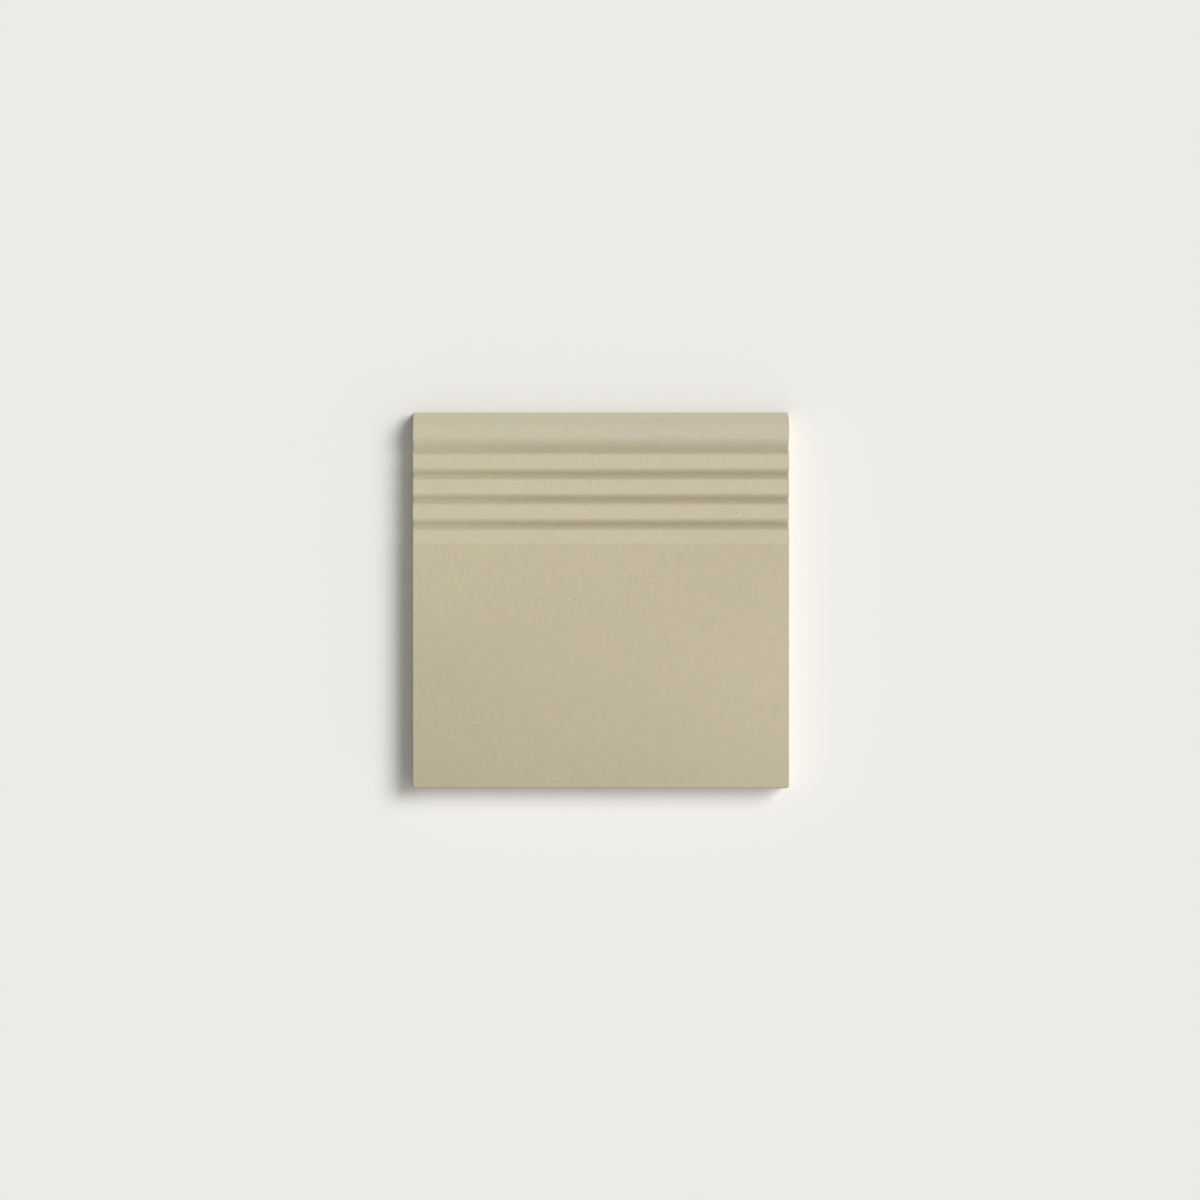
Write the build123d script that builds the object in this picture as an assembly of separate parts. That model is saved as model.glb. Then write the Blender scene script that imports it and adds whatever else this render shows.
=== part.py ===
from build123d import *
import math
import os

# Driving dimensions, in millimetres

# Overall module: width along the nose, depth from the nose to the rear edge, thickness at the lands
TILE_WIDTH = 150.0
TILE_DEPTH = 150.0
TILE_THICKNESS = 12.0

# Round nose: quarter-round front, level crown behind the crest, easing into the slope to the first groove
NOSE_RADIUS = 7.5
NOSE_CROWN = 3.1
NOSE_EASE = 2.6

# Grooves: crest to the first one, centre to centre, width and depth of the V before its corners are rounded
CREST_TO_GROOVE = 7.5
GROOVE_PITCH = 10.0
GROOVE_COUNT = 4
GROOVE_WIDTH = 4.2
GROOVE_DEPTH = 3.0
SHOULDER_RADIUS = 1.8
ROOT_RADIUS = 0.12

# Ribbed band: how far it runs past the last groove, and its small step down to the plain tread
BAND_TAIL = 7.5
BAND_STEP = 0.2
BAND_EASE = 1.6
BAND_RADIUS = 2.5

# Outer edges: rear corners seen from above, eased top and side edges, bevel around the back
CORNER_RADIUS = 1.2
EDGE_RADIUS = 0.6
BACK_BEVEL = 0.5

# Keyed back: square recesses that hold the bedding mortar
KEY_SIZE = 26.0
KEY_RIB = 6.0
KEY_DEPTH = 0.8
KEY_CORNER = 2.5
KEY_MARGIN = 13.0
KEY_DRAFT = 25.0

# How close a coordinate must be to count as lying on a plane
NEAR = 0.01


def groove_positions():
    """Distances of the groove centres from the front of the nose."""
    first = NOSE_RADIUS + CREST_TO_GROOVE
    return [first + GROOVE_PITCH * i for i in range(GROOVE_COUNT)]


def section_corners():
    """Corners of the section as distance from the front, height and rounding radius."""
    top = TILE_THICKNESS
    half = GROOVE_WIDTH / 2
    grooves = groove_positions()
    corners = [(0, 0, 0), (0, top, NOSE_RADIUS)]
    corners.append((NOSE_RADIUS + NOSE_CROWN, top, NOSE_EASE))
    for number, centre in enumerate(grooves):
        if number > 0:
            corners.append((centre - half, top, SHOULDER_RADIUS))
        corners.append((centre, top - GROOVE_DEPTH, ROOT_RADIUS))
        corners.append((centre + half, top, SHOULDER_RADIUS))
    band_end = grooves[-1] + BAND_TAIL
    corners.append((band_end - BAND_EASE / 2, top, BAND_RADIUS))
    corners.append((band_end + BAND_EASE / 2, top - BAND_STEP, BAND_RADIUS))
    corners.append((TILE_DEPTH, top - BAND_STEP, 0))
    corners.append((TILE_DEPTH, 0, 0))
    return corners


def unit(start, end):
    """Direction from one point to another, one long."""
    length = math.dist(start, end)
    return ((end[0] - start[0]) / length, (end[1] - start[1]) / length)


def rounded_corner(before, corner, after, radius):
    """Start, middle and end points of the arc that rounds one corner."""
    back = unit(corner, before)
    ahead = unit(corner, after)
    half_angle = math.acos(max(-1.0, min(1.0, back[0] * ahead[0] + back[1] * ahead[1]))) / 2
    tangent = radius / math.tan(half_angle)
    start = (corner[0] + back[0] * tangent, corner[1] + back[1] * tangent)
    end = (corner[0] + ahead[0] * tangent, corner[1] + ahead[1] * tangent)
    inward = unit((0, 0), (back[0] + ahead[0], back[1] + ahead[1]))
    reach = radius / math.sin(half_angle) - radius
    middle = (corner[0] + inward[0] * reach, corner[1] + inward[1] * reach)
    return start, middle, end


def section_outline():
    """Lines and tangent arcs of the closed section."""
    corners = section_corners()
    count = len(corners)
    edges = []
    spans = []
    for i, (s, z, radius) in enumerate(corners):
        if radius == 0:
            spans.append(((s, z), (s, z)))
            continue
        before = corners[i - 1][:2]
        after = corners[(i + 1) % count][:2]
        start, middle, end = rounded_corner(before, (s, z), after, radius)
        edges.append(ThreePointArc(start, middle, end))
        spans.append((start, end))
    for i in range(count):
        edges.append(Line(spans[i][1], spans[(i + 1) % count][0]))
    return edges


def pressed_body():
    """The section drawn out along the nose, nose towards -Y, back on the floor."""
    face = make_face(section_outline())
    bar = extrude(face, amount=TILE_WIDTH)
    # The section's own x becomes +Y and its own y becomes +Z
    placed = Plane(origin=(-TILE_WIDTH / 2, -TILE_DEPTH / 2, 0), x_dir=(0, 1, 0), z_dir=(1, 0, 0))
    return placed * bar


def on_side(edge):
    """True for an edge that lies in one of the two side planes."""
    box = edge.bounding_box()
    flat = box.size.X < NEAR
    return flat and abs(abs(box.center().X) - TILE_WIDTH / 2) < NEAR


def upright(edge):
    """True for a straight edge that runs up and down."""
    box = edge.bounding_box()
    return box.size.X < NEAR and box.size.Y < NEAR


def rear_corners(body):
    """The two upright edges at the rear."""
    rear = TILE_DEPTH / 2
    return [e for e in body.edges() if upright(e) and abs(e.center().Y - rear) < NEAR]


def eased_edges(body):
    """Everything along the sides and rear that a hand would touch: front corners, nose ends, top edges."""
    tread = TILE_THICKNESS - BAND_STEP
    chosen = []
    for edge in body.edges():
        box = edge.bounding_box()
        at_back = box.max.Z < NEAR
        rear_upright = upright(edge) and edge.center().Y > 0
        rear_top = box.min.Z > tread - NEAR and box.min.Y > TILE_DEPTH / 2 - CORNER_RADIUS - NEAR
        if rear_top or (on_side(edge) and not at_back and not rear_upright):
            chosen.append(edge)
    return chosen


def back_edges(body):
    """The outline of the back."""
    return [e for e in body.edges() if e.bounding_box().max.Z < NEAR]


def key_count(length):
    """How many recesses fit along one direction of the back."""
    room = length - 2 * KEY_MARGIN + KEY_RIB
    return max(1, math.floor(room / (KEY_SIZE + KEY_RIB)))


def key_recesses():
    """Shallow square recesses with drafted walls, in rows over the back."""
    pitch = KEY_SIZE + KEY_RIB
    cell = RectangleRounded(KEY_SIZE, KEY_SIZE, KEY_CORNER)
    recess = extrude(cell, amount=KEY_DEPTH, taper=KEY_DRAFT)
    spots = GridLocations(pitch, pitch, key_count(TILE_WIDTH), key_count(TILE_DEPTH))
    return [spot * recess for spot in spots]


def step_tile():
    """The whole tile as one solid."""
    body = pressed_body()
    body = fillet(rear_corners(body), CORNER_RADIUS)
    body = fillet(eased_edges(body), EDGE_RADIUS)
    body = chamfer(back_edges(body), BACK_BEVEL)
    return body - key_recesses()


os.makedirs("parts", exist_ok=True)
export_step(step_tile(), "parts/step_tile.step")
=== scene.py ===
import math

import bpy
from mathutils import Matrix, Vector


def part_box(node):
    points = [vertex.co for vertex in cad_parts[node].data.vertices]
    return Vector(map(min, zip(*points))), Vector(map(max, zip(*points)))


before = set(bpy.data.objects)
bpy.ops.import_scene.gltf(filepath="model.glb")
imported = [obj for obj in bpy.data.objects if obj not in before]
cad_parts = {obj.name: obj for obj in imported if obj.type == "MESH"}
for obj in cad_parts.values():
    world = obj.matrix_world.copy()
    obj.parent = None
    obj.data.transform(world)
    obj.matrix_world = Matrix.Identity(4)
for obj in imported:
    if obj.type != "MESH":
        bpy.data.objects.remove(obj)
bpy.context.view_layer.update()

# Driving dimensions, in metres: the nose is towards -Y, and left in the picture is +X

# The tile's box, from the frame
TILE_LOW, TILE_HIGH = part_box("step_tile")
TILE_WIDTH = TILE_HIGH[0] - TILE_LOW[0]
TILE_TOP = TILE_HIGH[2]
NOSE_FRONT = TILE_LOW[1]

# Nose: heights between which its painted light fades in, how far back that painted light reaches, the
# end of the crown
NOSE_LIGHT_LOW = 0.00315
NOSE_LIGHT_HIGH = 0.0072
NOSE_LIGHT_END = NOSE_FRONT + 0.0050
NOSE_END = NOSE_FRONT + 0.0111

# Grooves: first and last centre, how far a groove's tone reaches, the stretch that holds them all
FIRST_GROOVE = NOSE_FRONT + 0.0150
LAST_GROOVE = NOSE_FRONT + 0.0450
GROOVE_REACH = 0.0035
GROOVES_START = FIRST_GROOVE - 0.00105
GROOVES_END = LAST_GROOVE + GROOVE_REACH

# Slope into the first groove: where its painted light turns to painted shade, where it ends, and how
# softly
SLOPE_MIDDLE = NOSE_FRONT + 0.0125
SLOPE_END = FIRST_GROOVE - 0.0003
SLOPE_SOFT = 0.0006

# Painted shade in the grooves: its lowest level, and its top on the walls that face the nose and the
# rear
GROOVE_SHADE_LOW = TILE_TOP - 0.003045
GROOVE_SHADE_FRONT_TOP = TILE_TOP - 0.00029
GROOVE_SHADE_REAR_TOP = TILE_TOP - 0.001218

# Ribbed band: where its tone fades out, and how far that line wanders
BAND_FADE_START = NOSE_FRONT + 0.0522
BAND_FADE_END = NOSE_FRONT + 0.0530
BAND_WANDER = 0.0001

# Tread: where its painted shade starts and ends and how it slants, where the left end and the rear edge
# start
SHADE_START = NOSE_FRONT + 0.065
SHADE_END = TILE_HIGH[1] + 0.050
SHADE_SLANT = 0.42
LEFT_START = 0.015
REAR_START = 0.070
REAR_SOFT = 0.001

# Camera: straight above the tile, nose towards the top of the picture, sensor in millimetres
PHOTO_PIXELS = 1200
TILE_PIXELS = 377.2
CAMERA_HEIGHT = 1.1
CAMERA_SHIFT = (0.00024, 0.00008)
CAMERA_CLIP = 0.01
SENSOR_WIDTH = 36.0

# Light: a soft key from the picture's upper right, a broad fill from its lower right, a faint even sky
KEY_DIRECTION = (-0.80, -0.45, 1.0)
KEY_SPREAD = 33.0
KEY_STRENGTH = 2.48
FILL_DIRECTION = (-0.48, 0.90, 0.60)
FILL_SPREAD = 135.0
FILL_STRENGTH = 1.85
SKY_STRENGTH = 0.05

# Floor
FLOOR_SIZE = 40.0
FLOOR_ROUGHNESS = 0.9
FLOOR_SPECULAR = 0.2

# Colours, linear
WHITE = (1.0, 1.0, 1.0, 1.0)
FLOOR_COLOUR = (0.855, 0.841, 0.810, 1.0)
BODY_PINK = (0.530, 0.462, 0.332, 1.0)
BODY_GREEN = (0.518, 0.462, 0.324, 1.0)
BODY_STRAW = (0.534, 0.468, 0.321, 1.0)
SPECK_COLOUR = (0.20, 0.155, 0.095, 1.0)
PALE_COLOUR = (0.70, 0.66, 0.56, 1.0)
EDGE_COLOUR = (0.33, 0.265, 0.18, 1.0)
DUST_COLOUR = (0.62, 0.585, 0.50, 1.0)

# Tints that the clay is multiplied by, and the share of the groove tint away from the left end
BAND_TINT = (1.0, 1.020, 1.042, 1.0)
NOSE_TINT = (0.988, 1.004, 1.028, 1.0)
GROOVE_TINT = (1.0, 1.030, 1.085, 1.0)
GROOVE_TINT_SHARE = 0.3

# Noise in the fired clay: size of its patches, detail, roughness
CLOUD = (0.012, 3.0, 0.55)
VEIL = (0.007, 4.0, 0.6)
DRIFT = (0.070, 1.0, 0.5)
MOTTLE = (0.0022, 3.0, 0.55)
GRAIN = (0.00032, 2.0, 0.6)
SHEEN = (0.0022, 4.0, 0.6)
SAND = (0.00032, 3.0, 0.6)
RIPPLE = (0.0044, 2.0, 0.5)
STREAK = (0.0006, 3.0, 0.6)
BAND_WEAR = (0.0035, 2.0, 0.5)
EDGE_PATCHES = (0.0035, 4.0, 0.65)
BACK_WEAR = (0.0105, 5.0, 0.65)

# What a stretch of noise is turned into: from, to, and the two values that these become
CLOUD_RANGE = (0.34, 0.66, 0.0, 1.0)
VEIL_RANGE = (0.40, 0.66, 0.0, 0.8)
EDGE_RANGE = (0.32, 0.66, 0.35, 1.0)
BACK_RANGE = (0.35, 0.70, 0.25, 0.95)
SHEEN_RANGE = (0.30, 0.70, 0.52, 0.66)

# Noise from 0 to 1 keeps near its middle, so its swing to either side is stretched
NOISE_MIDDLE = 0.5
NOISE_GAIN = 4.0

# Scattered grains: spacing, radius, share of the cells that hold one
SPECKS = (0.0042, 0.00034, 0.8)
PALE_GRAINS = (0.0011, 0.00010, 0.6)

# Smallest grain as a share of the largest, and the full-strength core as a share of a grain
SMALLEST_GRAIN = 0.35
GRAIN_CORE = 0.45

# Size of the pressed granules, and the scale along each axis that draws out the die marks upright
GRANULE_SIZE = 0.0008
STREAK_SCALE = (1.0, 1.0, 0.05)

# How fast the clouds lean to one hue along +X, for each metre
HUE_LEAN = -2.0

# Parts of the surface normal between which a finish fades: along Y for the painted light and shade on
# the walls of the grooves
STEEP = (0.60, 0.80)
WALL_TURN = (-0.5, 0.5)
GROOVE_SHADE_TURN = (-0.3, 0.3)

# The same along X for the tile's sides, and along Z for its upright faces and its back
GROOVE_SIDES = (0.1, 0.6)
BAND_SIDES = (0.3, 0.9)
UPRIGHT = (0.05, 0.35)
UNDERSIDE = (-0.9, -0.3)

# How strongly each pattern changes the tone
DRIFT_TONE = 0.020
SHADE_TONE = 0.165
MOTTLE_TONE = 0.034
GRANULE_TONE = 0.007
GRAIN_TONE = 0.075
BAND_TONE = 0.062
NOSE_TONE = 0.165
STREAK_TONE = 0.05

# The same in the grooves: painted shade on front and rear walls, painted light and shade on the walls,
# the left end, the slope
FRONT_SHADE_TONE = 0.22
REAR_SHADE_TONE = 0.11
FRONT_WALL_TONE = -0.020
REAR_WALL_TONE = 0.12
LEFT_TONE = 0.05
SLOPE_TONE = 0.03

# Shares of these tones: in the first groove, of the painted shade at the left end, of the slope's
# painted shade there
FIRST_SHARE = 0.65
LEFT_SHADE_SHARE = 0.78
LEFT_SLOPE_SHARE = -0.6

# How much of the colour of specks, pale grains and edge darkening shows
SPECK_STRENGTH = 0.8
PALE_STRENGTH = 0.5
EDGE_STRENGTH = 0.7

# Gloss of the porcelain, and its relief too fine to model, in metres
PORCELAIN_SPECULAR = 0.35
SAND_RELIEF = 0.000007
RIPPLE_RELIEF = 0.000030

# Sockets of the mix node when it mixes colours
MIX_FIRST = 6
MIX_SECOND = 7
MIX_RESULT = 2


def put(tree, socket, value):
    """Links a socket to another one, or sets it to a plain value."""
    if isinstance(value, bpy.types.NodeSocket):
        tree.links.new(value, socket)
    else:
        socket.default_value = value


def step(tree, operation, first, second=0.0):
    """One arithmetic step."""
    node = tree.nodes.new("ShaderNodeMath")
    node.operation = operation
    put(tree, node.inputs[0], first)
    put(tree, node.inputs[1], second)
    return node.outputs[0]


def plus(tree, first, *others):
    """Sum of several values."""
    total = first
    for other in others:
        total = step(tree, "ADD", total, other)
    return total


def times(tree, first, *others):
    """Product of several values."""
    product = first
    for other in others:
        product = step(tree, "MULTIPLY", product, other)
    return product


def spread(tree, value, low, high, start=0.0, end=1.0):
    """Maps a value smoothly from one range to another."""
    node = tree.nodes.new("ShaderNodeMapRange")
    node.interpolation_type = "SMOOTHSTEP"
    put(tree, node.inputs["Value"], value)
    put(tree, node.inputs["From Min"], low)
    put(tree, node.inputs["From Max"], high)
    put(tree, node.inputs["To Min"], start)
    put(tree, node.inputs["To Max"], end)
    return node.outputs[0]


def between(tree, value, start, end, soft):
    """1 from start to end, fading to nought over a soft stretch beyond each."""
    rise = spread(tree, value, start - soft, start)
    fall = spread(tree, value, end, end + soft, 1.0, 0.0)
    return times(tree, rise, fall)


def blend(tree, factor, first, second):
    """Mixes two colours."""
    node = tree.nodes.new("ShaderNodeMix")
    node.data_type = "RGBA"
    put(tree, node.inputs[0], factor)
    put(tree, node.inputs[MIX_FIRST], first)
    put(tree, node.inputs[MIX_SECOND], second)
    return node.outputs[MIX_RESULT]


def tinted(tree, colour, mask, tint):
    """Multiplies a colour by a tint where the mask is 1."""
    node = tree.nodes.new("ShaderNodeVectorMath")
    node.operation = "MULTIPLY"
    put(tree, node.inputs[0], colour)
    put(tree, node.inputs[1], blend(tree, mask, WHITE, tint))
    return node.outputs["Vector"]


def scaled(tree, colour, amount):
    """Makes a colour lighter or darker."""
    node = tree.nodes.new("ShaderNodeVectorMath")
    node.operation = "SCALE"
    put(tree, node.inputs[0], colour)
    put(tree, node.inputs["Scale"], amount)
    return node.outputs["Vector"]


def noise(tree, place, pattern):
    """Soft noise of a given size, detail and roughness."""
    size, detail, roughness = pattern
    node = tree.nodes.new("ShaderNodeTexNoise")
    put(tree, node.inputs["Vector"], place)
    node.inputs["Scale"].default_value = 1.0 / size
    node.inputs["Detail"].default_value = detail
    node.inputs["Roughness"].default_value = roughness
    return node.outputs[0]


def swing(tree, value, amount):
    """Turns noise from 0 to 1 into a change of tone to either side of nought."""
    centred = step(tree, "SUBTRACT", value, NOISE_MIDDLE)
    return times(tree, centred, NOISE_GAIN * amount)


def cells(tree, place, size):
    """Cells of a given size: the distance from the middle of each, and its three draws from 0 to 1."""
    node = tree.nodes.new("ShaderNodeTexVoronoi")
    put(tree, node.inputs["Vector"], place)
    node.inputs["Scale"].default_value = 1.0 / size
    draws = tree.nodes.new("ShaderNodeSeparateColor")
    put(tree, draws.inputs[0], node.outputs["Color"])
    return node.outputs["Distance"], draws.outputs


def dots(tree, place, pattern):
    """Scattered grains: 1 in the middle of a grain and 0 outside, in a share of the cells."""
    spacing, radius, share = pattern
    largest = radius / spacing
    distance, draws = cells(tree, place, spacing)
    chosen = step(tree, "LESS_THAN", draws[0], share)
    size = spread(tree, draws[1], 0.0, 1.0, SMALLEST_GRAIN * largest, largest)
    inside = spread(tree, distance, times(tree, size, GRAIN_CORE), size, 1.0, 0.0)
    return times(tree, inside, chosen)


class Surface:
    """Where a point of the tile lies and which way it faces, in the tile's own frame."""

    def __init__(self, tree):
        source = tree.nodes.new("ShaderNodeTexCoord")
        self.place = source.outputs["Object"]
        place = tree.nodes.new("ShaderNodeSeparateXYZ")
        put(tree, place.inputs[0], source.outputs["Object"])
        facing = tree.nodes.new("ShaderNodeSeparateXYZ")
        put(tree, facing.inputs[0], source.outputs["Normal"])
        self.x = place.outputs[0]
        self.y = place.outputs[1]
        self.z = place.outputs[2]
        self.sideways = step(tree, "ABSOLUTE", facing.outputs[0])
        self.rearward = facing.outputs[1]
        self.lengthways = step(tree, "ABSOLUTE", self.rearward)
        self.up = facing.outputs[2]


def leftward(tree, at):
    """0 over the right and middle of the tile, rising to 1 at its left end."""
    return spread(tree, at.x, LEFT_START, TILE_HIGH[0])


def rounded_edges(tree, at):
    """1 half way round an outer edge, 0 on the flat faces beside it."""
    rear = spread(tree, at.y, REAR_START, REAR_START + REAR_SOFT)
    turned = step(tree, "MAXIMUM", at.sideways, times(tree, at.lengthways, rear))
    rest = step(tree, "SUBTRACT", 1.0, turned)
    # A share times its rest is a quarter half way, so four times that is 1
    return times(tree, turned, rest, 4.0)


def edge_darkening(tree, at):
    """A brownish darkening along the rounded outer edges, uneven along their length."""
    patches = spread(tree, noise(tree, at.place, EDGE_PATCHES), *EDGE_RANGE)
    return times(tree, rounded_edges(tree, at), patches)


def nose_painted_light(tree, at):
    """1 along the front of the round nose, where light is painted on to make it paler."""
    front = spread(tree, at.y, NOSE_FRONT, NOSE_LIGHT_END, 1.0, 0.0)
    above = spread(tree, at.z, NOSE_LIGHT_LOW, NOSE_LIGHT_HIGH)
    return times(tree, front, above)


def in_grooves(tree, at):
    """1 over the stretch that holds the grooves, 0 beyond it."""
    return between(tree, at.y, GROOVES_START, GROOVES_END, GROOVE_REACH)


def off_the_sides(tree, at):
    """1 on the faces of the section, 0 on the two sides of the tile."""
    return spread(tree, at.sideways, *GROOVE_SIDES, 1.0, 0.0)


def groove_painted_shade(tree, at):
    """Painted shade at the bottom of the grooves, higher on the walls that face the nose, less to the
    left.
    """
    front = spread(tree, at.z, GROOVE_SHADE_LOW, GROOVE_SHADE_FRONT_TOP, -FRONT_SHADE_TONE, 0.0)
    rear = spread(tree, at.z, GROOVE_SHADE_LOW, GROOVE_SHADE_REAR_TOP, -REAR_SHADE_TONE, 0.0)
    side = spread(tree, at.rearward, *GROOVE_SHADE_TURN)
    change = times(tree, side, step(tree, "SUBTRACT", rear, front))
    thinned = spread(tree, leftward(tree, at), 0.0, 1.0, 1.0, LEFT_SHADE_SHARE)
    return times(tree, plus(tree, front, change), thinned)


def groove_wall_light_and_shade(tree, at):
    """Steep walls: painted shade where they face the nose, painted light where they face the rear, more
    painted light to the left.
    """
    steep = spread(tree, at.lengthways, *STEEP)
    side = spread(tree, at.rearward, *WALL_TURN, FRONT_WALL_TONE, REAR_WALL_TONE)
    more = times(tree, leftward(tree, at), LEFT_TONE)
    return times(tree, steep, plus(tree, more, side))


def slope_painted_light_and_shade(tree, at):
    """The long slope into the first groove: painted light near its top, painted shade below but painted
    light at the left end.
    """
    pale = between(tree, at.y, NOSE_END, SLOPE_MIDDLE - SLOPE_SOFT, SLOPE_SOFT)
    below = between(tree, at.y, SLOPE_MIDDLE, SLOPE_END, SLOPE_SOFT)
    painted_dark = times(tree, below, spread(tree, leftward(tree, at), 0.0, 1.0, 1.0, LEFT_SLOPE_SHARE))
    return times(tree, step(tree, "SUBTRACT", pale, painted_dark), SLOPE_TONE)


def painted_groove_shading(tree, at):
    """All the painted light and shade in the grooves, milder in the first one."""
    both = plus(tree, groove_painted_shade(tree, at), groove_wall_light_and_shade(tree, at))
    past_first = FIRST_GROOVE + GROOVE_REACH
    milder = spread(tree, at.y, past_first, past_first + GROOVE_REACH, FIRST_SHARE, 1.0)
    amount = times(tree, both, milder, in_grooves(tree, at))
    return times(tree, plus(tree, amount, slope_painted_light_and_shade(tree, at)), off_the_sides(tree, at))


def groove_bottoms(tree, at):
    """1 low in the grooves at the left end, less to the right, 0 elsewhere."""
    low = spread(tree, at.z, GROOVE_SHADE_LOW, GROOVE_SHADE_FRONT_TOP, 1.0, 0.0)
    share = spread(tree, leftward(tree, at), 0.0, 1.0, GROOVE_TINT_SHARE, 1.0)
    return times(tree, low, share, in_grooves(tree, at), off_the_sides(tree, at))


def ribbed_band(tree, at):
    """1 over the nose and grooves, 0 over the tread and the sides, with an uneven line between."""
    wander = swing(tree, noise(tree, at.place, BAND_WEAR), BAND_WANDER)
    band = spread(tree, plus(tree, at.y, wander), BAND_FADE_START, BAND_FADE_END, 1.0, 0.0)
    inner = spread(tree, at.sideways, *BAND_SIDES, 1.0, 0.0)
    return times(tree, band, inner)


def painted_tread_shade(tree, at):
    """Painted shade: the tread a little darker towards its rear left corner."""
    slant = tree.nodes.new("ShaderNodeVectorMath")
    slant.operation = "DOT_PRODUCT"
    put(tree, slant.inputs[0], at.place)
    slant.inputs[1].default_value = (SHADE_SLANT, 1.0, 0.0)
    return spread(tree, slant.outputs["Value"], SHADE_START, SHADE_END, 0.0, -SHADE_TONE)


def granules(tree, at):
    """One draw from 0 to 1 for each pressed granule of the clay."""
    _, draws = cells(tree, at.place, GRANULE_SIZE)
    return draws[2]


def wall_streaks(tree, at):
    """Upright drag marks that the die leaves on the sides."""
    squash = tree.nodes.new("ShaderNodeMapping")
    put(tree, squash.inputs["Vector"], at.place)
    squash.inputs["Scale"].default_value = STREAK_SCALE
    marks = swing(tree, noise(tree, squash.outputs[0], STREAK), STREAK_TONE)
    walls = spread(tree, step(tree, "ABSOLUTE", at.up), *UPRIGHT, 1.0, 0.0)
    return times(tree, marks, walls)


def tone(tree, at):
    """All the changes of lightness together, about 1."""
    return plus(
        tree,
        1.0,
        swing(tree, noise(tree, at.place, DRIFT), DRIFT_TONE),
        swing(tree, noise(tree, at.place, MOTTLE), MOTTLE_TONE),
        swing(tree, noise(tree, at.place, GRAIN), GRAIN_TONE),
        swing(tree, granules(tree, at), GRANULE_TONE),
        painted_tread_shade(tree, at),
        times(tree, ribbed_band(tree, at), BAND_TONE),
        painted_groove_shading(tree, at),
        times(tree, nose_painted_light(tree, at), NOSE_TONE),
        wall_streaks(tree, at),
    )


def clouded_clay(tree, at):
    """Beige clay with soft clouds, pinker to the right and straw to the left."""
    lean = times(tree, at.x, HUE_LEAN)
    pinker = plus(tree, noise(tree, at.place, CLOUD), lean)
    yellower = step(tree, "SUBTRACT", noise(tree, at.place, VEIL), lean)
    clouds = blend(tree, spread(tree, pinker, *CLOUD_RANGE), BODY_GREEN, BODY_PINK)
    return blend(tree, spread(tree, yellower, *VEIL_RANGE), clouds, BODY_STRAW)


def shaded_clay(tree, at):
    """The clay with the tints of its parts and all its changes of lightness."""
    nose = spread(tree, at.y, NOSE_END, SLOPE_MIDDLE, 1.0, 0.0)
    clay = tinted(tree, clouded_clay(tree, at), ribbed_band(tree, at), BAND_TINT)
    clay = tinted(tree, clay, nose, NOSE_TINT)
    clay = tinted(tree, clay, groove_bottoms(tree, at), GROOVE_TINT)
    return scaled(tree, clay, tone(tree, at))


def specked(tree, at, colour):
    """Adds fine pale grains and a few dark specks."""
    pale = times(tree, dots(tree, at.place, PALE_GRAINS), PALE_STRENGTH)
    dark = times(tree, dots(tree, at.place, SPECKS), SPECK_STRENGTH)
    colour = blend(tree, pale, colour, PALE_COLOUR)
    return blend(tree, dark, colour, SPECK_COLOUR)


def worn(tree, at, colour):
    """Adds a brownish darkening along the edges and patchy dust on the back."""
    edge_dark = times(tree, edge_darkening(tree, at), EDGE_STRENGTH)
    colour = blend(tree, edge_dark, colour, EDGE_COLOUR)
    under = spread(tree, at.up, *UNDERSIDE, 1.0, 0.0)
    patches = spread(tree, noise(tree, at.place, BACK_WEAR), *BACK_RANGE)
    return blend(tree, times(tree, under, patches), colour, DUST_COLOUR)


def relief(tree, at):
    """Fine sandy grain over very shallow ripples."""
    sand = noise(tree, at.place, SAND)
    ripple = times(tree, noise(tree, at.place, RIPPLE), RIPPLE_RELIEF / SAND_RELIEF)
    bump = tree.nodes.new("ShaderNodeBump")
    bump.inputs["Strength"].default_value = 1.0
    bump.inputs["Distance"].default_value = SAND_RELIEF
    put(tree, bump.inputs["Height"], plus(tree, sand, ripple))
    return bump.outputs[0]


def new_material(name):
    """A node material with its tree and its shader."""
    material = bpy.data.materials.new(name)
    material.use_nodes = True
    tree = material.node_tree
    return material, tree, tree.nodes["Principled BSDF"]


def porcelain_material():
    """Matt unglazed porcelain."""
    material, tree, shader = new_material("porcelain")
    at = Surface(tree)
    colour = worn(tree, at, specked(tree, at, shaded_clay(tree, at)))
    put(tree, shader.inputs["Base Color"], colour)
    put(tree, shader.inputs["Roughness"], spread(tree, noise(tree, at.place, SHEEN), *SHEEN_RANGE))
    put(tree, shader.inputs["Normal"], relief(tree, at))
    shader.inputs["Specular IOR Level"].default_value = PORCELAIN_SPECULAR
    return material


def floor_material():
    """A plain pale matt surface."""
    material, _, shader = new_material("pale_floor")
    shader.inputs["Base Color"].default_value = FLOOR_COLOUR
    shader.inputs["Roughness"].default_value = FLOOR_ROUGHNESS
    shader.inputs["Specular IOR Level"].default_value = FLOOR_SPECULAR
    return material


def make_floor():
    """The surface that the tile lies on."""
    bpy.ops.mesh.primitive_plane_add(size=FLOOR_SIZE, location=(0, 0, 0))
    floor = bpy.context.object
    floor.name = "floor"
    floor.data.materials.append(floor_material())


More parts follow.
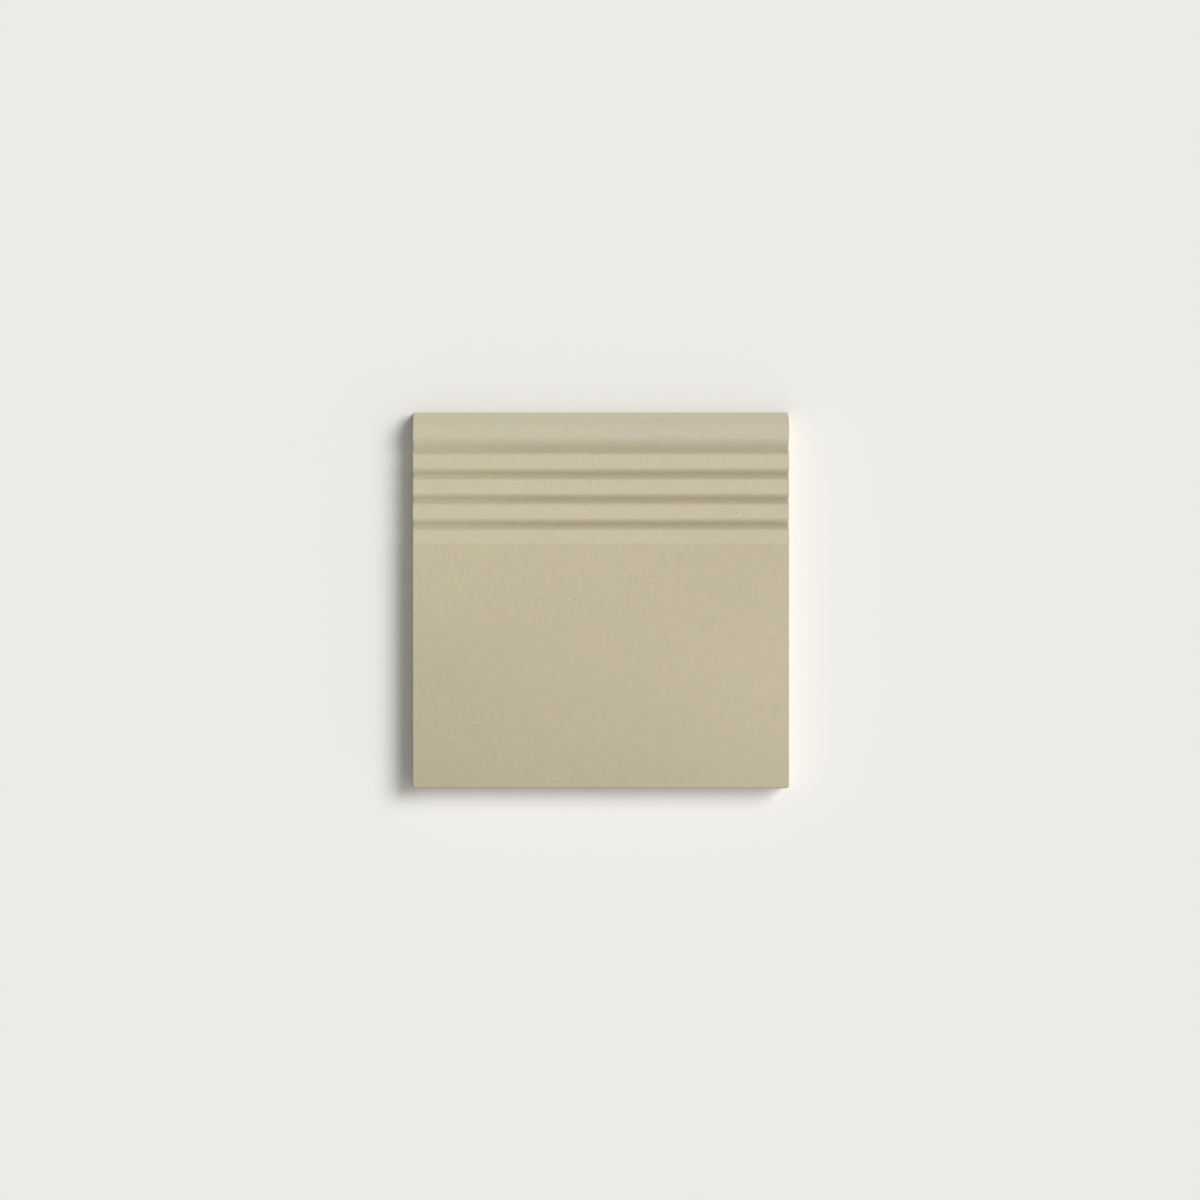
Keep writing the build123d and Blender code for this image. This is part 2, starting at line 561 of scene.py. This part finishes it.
def make_camera():
    """Looks straight down, with the nose at the top of the picture."""
    camera = bpy.data.cameras.new("camera")
    camera.sensor_width = SENSOR_WIDTH
    frame_width = TILE_WIDTH * PHOTO_PIXELS / TILE_PIXELS
    camera.lens = SENSOR_WIDTH * CAMERA_HEIGHT / frame_width
    camera.clip_start = CAMERA_CLIP
    holder = bpy.data.objects.new("camera", camera)
    holder.location = (*CAMERA_SHIFT, TILE_TOP + CAMERA_HEIGHT)
    holder.rotation_euler = (0, 0, math.pi)
    bpy.context.collection.objects.link(holder)
    bpy.context.scene.camera = holder


def make_sky():
    """A faint even sky, and a backdrop like the floor where the camera or a reflection looks past it."""
    world = bpy.data.worlds.new("sky")
    world.use_nodes = True
    tree = world.node_tree
    sky = tree.nodes["Background"]
    sky.inputs["Color"].default_value = WHITE
    sky.inputs["Strength"].default_value = SKY_STRENGTH
    backdrop = tree.nodes.new("ShaderNodeBackground")
    backdrop.inputs["Color"].default_value = FLOOR_COLOUR
    path = tree.nodes.new("ShaderNodeLightPath")
    mirrored = step(tree, "MAXIMUM", path.outputs["Is Glossy Ray"], path.outputs["Is Transmission Ray"])
    seen = step(tree, "MAXIMUM", path.outputs["Is Camera Ray"], mirrored)
    choice = tree.nodes.new("ShaderNodeMixShader")
    put(tree, choice.inputs[0], seen)
    put(tree, choice.inputs[1], sky.outputs[0])
    put(tree, choice.inputs[2], backdrop.outputs[0])
    put(tree, tree.nodes["World Output"].inputs["Surface"], choice.outputs[0])
    bpy.context.scene.world = world


def make_lamp(name, direction, degrees, strength):
    """A far soft lamp, as even over the floor as over the tile."""
    lamp = bpy.data.lights.new(name, "SUN")
    lamp.angle = math.radians(degrees)
    lamp.energy = strength
    holder = bpy.data.objects.new(name, lamp)
    holder.location = direction
    holder.rotation_euler = Vector(direction).to_track_quat("Z", "Y").to_euler()
    bpy.context.collection.objects.link(holder)


def dress_tile():
    """Gives the tile its finish."""
    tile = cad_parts["step_tile"]
    tile.data.materials.clear()
    tile.data.materials.append(porcelain_material())


bpy.context.scene.view_settings.view_transform = "Standard"
make_floor()
make_camera()
make_sky()
make_lamp("key", KEY_DIRECTION, KEY_SPREAD, KEY_STRENGTH)
make_lamp("fill", FILL_DIRECTION, FILL_SPREAD, FILL_STRENGTH)
dress_tile()
